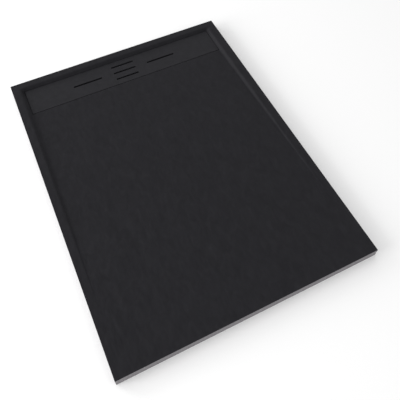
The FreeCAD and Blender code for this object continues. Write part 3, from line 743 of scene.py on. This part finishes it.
STEEL_DARK = (0.50, 0.50, 0.51)
STEEL_PALE = (0.66, 0.66, 0.67)
steel, tree, shader = new_finish("steel", STEEL_PALE, roughness=0.3, metallic=1.0)
at = place_pattern(tree, stretch=(1, 14, 1))
brushed = grain(tree, at, scale=90, detail=6, roughness=0.7)
tree.links.new(
    spread(tree, brushed, [(0.3, STEEL_DARK), (0.7, STEEL_PALE)]), shader.inputs["Base Color"],
)
tree.links.new(between(tree, brushed, low=0.24, high=0.38), shader.inputs["Roughness"])
raise_by(tree, shader, brushed, height=0.00004, strength=0.3)

SCREW_CIRCLE = 0.038
SCREW_PLACES = [(SCREW_CIRCLE, 0), (0, SCREW_CIRCLE), (-SCREW_CIRCLE, 0), (0, -SCREW_CIRCLE)]
STRAINER_SEAT = 0.0105
SINK_START = 0.01025
COUNTERSINK = [
    (0, 0.008), (0.0022, 0.008), (0.0022, SINK_START), (0.00395, WELL_BOTTOM), (0.00395, 0.014),
    (0, 0.014),
]
FLANGE_INSIDE, SEAT_INSIDE = 0.028, 0.031
FLANGE = [
    (FLANGE_INSIDE, FLANGE_UNDER), (FLANGE_RADIUS, FLANGE_UNDER), (FLANGE_RADIUS, WELL_BOTTOM),
    (SEAT_INSIDE, WELL_BOTTOM), (SEAT_INSIDE, STRAINER_SEAT), (FLANGE_INSIDE, STRAINER_SEAT),
]
flange = combined(
    lathe(FLANGE),
    [lathe(COUNTERSINK, at=(x, y + DRAIN_Y, 0), segments=32) for x, y in SCREW_PLACES],
    "DIFFERENCE",
)
flange = soften(flange, width=0.0002)
finish_piece("drain_flange", flange, steel, "tray", "waste_flange", smooth=25)

STRAINER_RADIUS = SEAT_INSIDE - 0.0002
PUNCHED = ring(0, 0.00175, low=0.009, high=0.013)
PUNCHED_STEP = 0.008
hole_places = [(0.0, 0.0)]
for circle_number in (1, 2, 3):
    out = PUNCHED_STEP * circle_number
    for step in range(6 * circle_number):
        turn = math.radians(60 / circle_number * step)
        hole_places.append((out * math.cos(turn), out * math.sin(turn)))
strainer = combined(
    lathe(ring(0, STRAINER_RADIUS, low=STRAINER_SEAT, high=WELL_BOTTOM)),
    [lathe(PUNCHED, at=(x, y + DRAIN_Y, 0), segments=20) for x, y in hole_places],
    "DIFFERENCE",
)
strainer = soften(strainer, width=0.00018)
finish_piece("strainer", strainer, steel, "tray", "hair_strainer", smooth=25)

THREAD_OUT, THREAD_IN = 0.0020, 0.0016
THREAD_TOP, THREAD_STEP = 0.0098, 0.0005
SCREW_HEAD = [
    (0, WELL_BOTTOM), (0.0035, WELL_BOTTOM), (0.00375, 0.0118), (THREAD_OUT, SINK_START),
]
THREAD = [
    (THREAD_OUT if step % 2 else THREAD_IN, THREAD_TOP - THREAD_STEP * step) for step in range(24)
]
SCREW_POINT = [(0, -0.003)]
DRIVER_BLADE = (0.008, 0.001, 0.002)
FIRST_TURN, NEXT_TURN = 0.4, 1.1
screws = []
for number, (x, y) in enumerate(SCREW_PLACES):
    screw = lathe(SCREW_HEAD + THREAD + SCREW_POINT, at=(0, 0, 0), segments=32)
    turned = Matrix.Rotation(FIRST_TURN + NEXT_TURN * number, 3, "Z")
    blade = bmesh.new()
    bmesh.ops.create_cube(blade, size=1)
    bmesh.ops.scale(blade, verts=blade.verts[:], vec=DRIVER_BLADE)
    bmesh.ops.rotate(blade, verts=blade.verts[:], matrix=turned)
    bmesh.ops.translate(blade, verts=blade.verts[:], vec=(0, 0, WELL_BOTTOM))
    screw = combined(screw, [blade], "DIFFERENCE")
    bmesh.ops.translate(screw, verts=screw.verts[:], vec=(x, y + DRAIN_Y, 0))
    screws.append(screw)
finish_piece("screws", gathered(screws), steel, "tray", "flange_screws", smooth=25)

# ---------------------------------------------------------------------------
# The trap: a bowl moulded in pale polypropylene with a ribbed flange, four screw
# towers and a branch, and the dip tube that hangs in it by its collar.
# ---------------------------------------------------------------------------


def moulded(name, dark, pale, roughness, scale):
    """Polypropylene as it comes from the mould: faint clouds and a matt, spark-eroded face."""
    finish, tree, shader = new_finish(name, pale, roughness, specular=0.4)
    at = place_pattern(tree)
    clouds = grain(tree, at, scale, detail=4)
    spark_marks = grain(tree, at, scale=1800, detail=2)
    worn = between(tree, clouds, low=roughness - 0.06, high=roughness + 0.08)
    tree.links.new(spread(tree, clouds, [(0.3, dark), (0.7, pale)]), shader.inputs["Base Color"])
    tree.links.new(worn, shader.inputs["Roughness"])
    raise_by(tree, shader, spark_marks, height=0.00008, strength=0.35)
    return finish


WEB_HALF = 0.001
WEB = [(0.054, -0.0055), (0.0612, -0.0055), (0.054, -0.020)]


def web(turn):
    """A thin three-cornered rib between the bowl's side and its flange."""
    rib = bmesh.new()
    face = rib.faces.new([rib.verts.new((out, -WEB_HALF, height)) for out, height in WEB])
    up = corners_of(bmesh.ops.extrude_face_region(rib, geom=[face]))
    bmesh.ops.translate(rib, verts=up, vec=(0, 2 * WEB_HALF, 0))
    bmesh.ops.rotate(rib, verts=rib.verts[:], matrix=Matrix.Rotation(turn, 3, "Z"))
    bmesh.ops.translate(rib, verts=rib.verts[:], vec=(0, DRAIN_Y, 0))
    return rib


trap_plastic = moulded(
    "trap_plastic", dark=(0.62, 0.63, 0.64), pale=(0.72, 0.73, 0.74), roughness=0.42, scale=30,
)
BOWL_UNDER = -0.100
BOWL_RADIUS, BOWL_WALL = 0.055, 0.003
COLLAR_RADIUS, COLLAR_UNDER = 0.062, -0.006
TUBE_OPENING = 0.028
BOWL = [
    (0, BOWL_UNDER), (0.0485, BOWL_UNDER), (0.0525, -0.0992), (0.0544, -0.0970),
    (BOWL_RADIUS, -0.0935), (BOWL_RADIUS, COLLAR_UNDER), (COLLAR_RADIUS, COLLAR_UNDER),
    (COLLAR_RADIUS, TRAP_TOP), (0, TRAP_TOP),
]
BOWL_INSIDE = [
    (0, BOWL_UNDER + BOWL_WALL), (0.0470, BOWL_UNDER + BOWL_WALL), (0.0505, -0.0960),
    (BOWL_RADIUS - BOWL_WALL, -0.0925), (BOWL_RADIUS - BOWL_WALL, COLLAR_UNDER),
    (TUBE_OPENING, COLLAR_UNDER), (TUBE_OPENING, RECESS_DEPTH), (0, RECESS_DEPTH),
]
BRANCH = ring(0, 0.027, low=0.020, high=BRANCH_END)
SOCKET_RADIUS, SOCKET_START = 0.0199, 0.060
BRANCH_BORE = [
    (0, 0.0), (0.0175, 0.0), (0.0175, SOCKET_START), (SOCKET_RADIUS, SOCKET_START),
    (SOCKET_RADIUS, BRANCH_END + 0.002), (0, BRANCH_END + 0.002),
]
TOWER = ring(0, 0.0055, low=-0.0035, high=0.0092)
TOWER_HOLE = ring(0, 0.00205, low=-0.008, high=0.0120)
bowl = combined(lathe(BOWL), [lathe(BRANCH, at=OUTLET_AXIS, level=True)], "UNION")
bowl = combined(bowl, [lathe(BOWL_INSIDE)], "DIFFERENCE")
bowl = combined(bowl, [lathe(BRANCH_BORE, at=OUTLET_AXIS, level=True)], "DIFFERENCE")
towers = [lathe(TOWER, at=(x, y + DRAIN_Y, 0), segments=40) for x, y in SCREW_PLACES]
OVER_BRANCH = (5, 6)
webs = [web(math.radians(15 + 30 * step)) for step in range(12) if step not in OVER_BRANCH]
bowl = combined(bowl, towers + webs, "UNION")
holes = [lathe(TOWER_HOLE, at=(x, y + DRAIN_Y, 0), segments=24) for x, y in SCREW_PLACES]
bowl = soften(combined(bowl, holes, "DIFFERENCE"), width=0.0004)
finish_piece("bowl", bowl, trap_plastic, "tray", "trap_bowl", smooth=25)

TUBE_INSIDE, TUBE_OUTSIDE, TUBE_COLLAR = 0.0235, 0.0255, 0.0315
TUBE_END, TUBE_TOP = -0.085, 0.0015
DIP_TUBE = [
    (TUBE_INSIDE, TUBE_END), (TUBE_OUTSIDE, TUBE_END), (TUBE_OUTSIDE, TRAP_TOP),
    (TUBE_COLLAR, TRAP_TOP), (TUBE_COLLAR, TUBE_TOP), (TUBE_INSIDE, TUBE_TOP),
]
tube = soften(lathe(DIP_TUBE), width=0.0006)
finish_piece("tube", tube, trap_plastic, "tray", "dip_tube", smooth=35)

# ---------------------------------------------------------------------------
# The outlet: a drawn 40 mm pipe with a chamfered end, held in the branch by a moulded
# union nut with grip ribs.
# ---------------------------------------------------------------------------

pipe_plastic = moulded(
    "pipe_plastic", dark=(0.26, 0.27, 0.28), pale=(0.32, 0.33, 0.34), roughness=0.36, scale=50,
)
PIPE_INSIDE, PIPE_OUTSIDE, PIPE_SPIGOT = 0.0182, 0.0200, 0.0196
PIPE_START, PIPE_END = 0.062, 0.180
PIPE = [
    (PIPE_INSIDE, PIPE_START), (PIPE_SPIGOT, PIPE_START), (PIPE_SPIGOT, 0.096),
    (PIPE_OUTSIDE, 0.0964), (PIPE_OUTSIDE, 0.1775), (0.0188, PIPE_END), (PIPE_INSIDE, PIPE_END),
]
pipe = soften(lathe(PIPE, at=OUTLET_AXIS, level=True), width=0.0003)
finish_piece("pipe", pipe, pipe_plastic, "tray", "outlet_pipe", smooth=40)

nut_plastic = moulded(
    "nut_plastic", dark=(0.44, 0.45, 0.46), pale=(0.53, 0.54, 0.55), roughness=0.4, scale=50,
)
NUT_THREAD, NUT_BORE = 0.02705, 0.0199
NUT_START, NUT_END = 0.066, 0.092
NUT_RADIUS = 0.0320
NUT = [
    (NUT_THREAD, NUT_START), (0.0308, NUT_START), (NUT_RADIUS, 0.0672), (NUT_RADIUS, 0.0690),
    (0.0319, 0.0705), (0.0319, 0.0865), (NUT_RADIUS, 0.0880), (NUT_RADIUS, 0.0900),
    (0.0300, NUT_END), (NUT_BORE, NUT_END), (NUT_BORE, NUT_SHOULDER), (NUT_THREAD, NUT_SHOULDER),
]
NUT_RIBS = 20
STEPS_PER_RIB = 8
RIB_START, RIB_END = 0.0700, 0.0870
GROOVE = 0.945
nut = lathe(NUT, at=OUTLET_AXIS, level=True, segments=STEPS_PER_RIB * NUT_RIBS)
for corner in nut.verts:
    across, up = corner.co.y - DRAIN_Y, corner.co.z - OUTLET_Z
    if RIB_START < -corner.co.x < RIB_END and math.hypot(across, up) > NUT_RADIUS - 0.001:
        turn = math.atan2(up, across) / (2 * math.pi)
        if 2 <= round(turn * STEPS_PER_RIB * NUT_RIBS) % STEPS_PER_RIB <= 6:
            corner.co.y = DRAIN_Y + across * GROOVE
            corner.co.z = OUTLET_Z + up * GROOVE
nut = soften(nut, width=0.0003)
finish_piece("union_nut", nut, nut_plastic, "tray", "outlet_nut", smooth=35)

# ---------------------------------------------------------------------------
# The studio: a pale floor with a cut-out for the trap under the tray, two soft lamps,
# and the camera of the photograph.
# ---------------------------------------------------------------------------

CUT_LEFT, CUT_RIGHT, CUT_FRONT, CUT_BACK = -0.250, 0.100, 0.400, 0.590
FLOOR_REACH = 9.0
FLOOR_GAP = 0.0002
floor = bmesh.new()
bmesh.ops.create_grid(floor, x_segments=3, y_segments=3, size=1)
bend_grid(
    floor,
    [-FLOOR_REACH, CUT_LEFT, CUT_RIGHT, FLOOR_REACH],
    [-FLOOR_REACH, CUT_FRONT, CUT_BACK, FLOOR_REACH],
)
over_trap = [
    face for face in floor.faces
    if CUT_LEFT < face.calc_center_median().x < CUT_RIGHT
    and CUT_FRONT < face.calc_center_median().y < CUT_BACK
]
bmesh.ops.delete(floor, geom=over_trap, context="FACES")
bmesh.ops.translate(floor, verts=floor.verts[:], vec=(0, 0, -FLOOR_GAP))
floor_data = bpy.data.meshes.new("studio_floor")
floor.to_mesh(floor_data)
floor.free()
studio_floor = bpy.data.objects.new("studio_floor", floor_data)
bpy.context.collection.objects.link(studio_floor)
FLOOR_WHITE = (0.95, 0.95, 0.95)
floor_paint, _, _ = new_finish("studio_floor", FLOOR_WHITE, roughness=0.9, specular=0.0)
floor_data.materials.append(floor_paint)

LAMP_SIDE = 2.5


def soft_lamp(name, at, power):
    """A large soft light that faces the tray's middle."""
    lamp = bpy.data.lights.new(name, "AREA")
    lamp.shape = "SQUARE"
    lamp.size = LAMP_SIDE
    lamp.energy = power
    holder = bpy.data.objects.new(name, lamp)
    bpy.context.collection.objects.link(holder)
    holder.location = at
    holder.rotation_euler = (-Vector(at)).to_track_quat("-Z", "Y").to_euler()


soft_lamp("left_lamp", at=(-4.755, 0, 1.545), power=150)
soft_lamp("back_lamp", at=(-3.362, 3.362, 1.545), power=84)

# a plain white surround
sky = bpy.data.worlds.new("studio")
sky.use_nodes = True
surround = sky.node_tree.nodes["Background"]
surround.inputs["Color"].default_value = (1, 1, 1, 1)
surround.inputs["Strength"].default_value = 0.84
bpy.context.scene.world = sky
bpy.context.scene.view_settings.view_transform = "Standard"

CAMERA_AT = (-0.38924, -1.00217, 1.68205)
CAMERA_RIGHT = (0.90186, -0.43202, -0.00119)
CAMERA_UP = (0.34198, 0.71222, 0.61302)
CAMERA_BACK = (-0.26399, -0.55327, 0.79006)
camera = bpy.data.cameras.new("camera")
camera.sensor_width = 36
camera.lens = 48.73
camera.shift_x, camera.shift_y = 0.00939, -0.2125
camera.clip_start, camera.clip_end = 0.05, 60
holder = bpy.data.objects.new("camera", camera)
bpy.context.collection.objects.link(holder)
turned = Matrix((CAMERA_RIGHT, CAMERA_UP, CAMERA_BACK)).transposed().to_4x4()
holder.matrix_world = Matrix.Translation(CAMERA_AT) @ turned
bpy.context.scene.camera = holder
